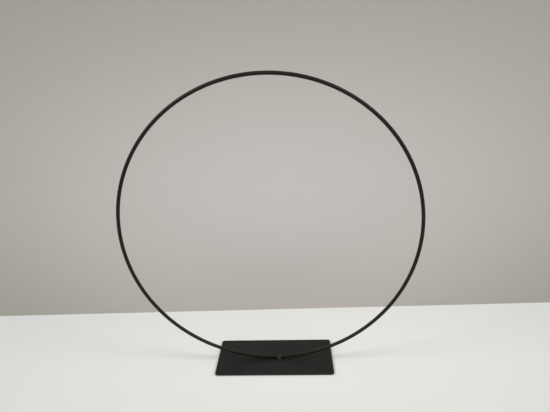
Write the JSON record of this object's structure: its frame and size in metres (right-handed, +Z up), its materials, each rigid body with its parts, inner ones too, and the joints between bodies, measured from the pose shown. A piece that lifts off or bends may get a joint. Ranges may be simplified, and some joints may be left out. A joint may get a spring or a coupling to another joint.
{
  "type": "decorative hoop stand",
  "caption": "Upright round metal hoop welded on a small flat base plate with thin corner pads, a table-top frame for tying on flowers, a wreath or ribbon.",
  "frame": {"origin": "on the table under the hoop's centre in X, halfway between the base plate's front and back edges in Y, at the pads' undersides in Z", "axes": "+Z up, the way the hoop stands; +Y backwards through the hoop, along the base plate's short side; +X to the right of somebody facing the hoop's front"},
  "size_m": [0.3, 0.055, 0.3028],
  "materials": {
    "powder_coat": "satin black powder coat",
    "weld_coat": "satin black powder coat over a weld",
    "pad_rubber": "matte black"
  },
  "bodies": {
    "root": {"hoop_rod": "powder_coat", "seam_weld": "weld_coat", "base_plate": "powder_coat", "pad_front_left": "pad_rubber", "pad_front_right": "pad_rubber", "pad_back_left": "pad_rubber", "pad_back_right": "pad_rubber"}
  },
  "joints": []
}
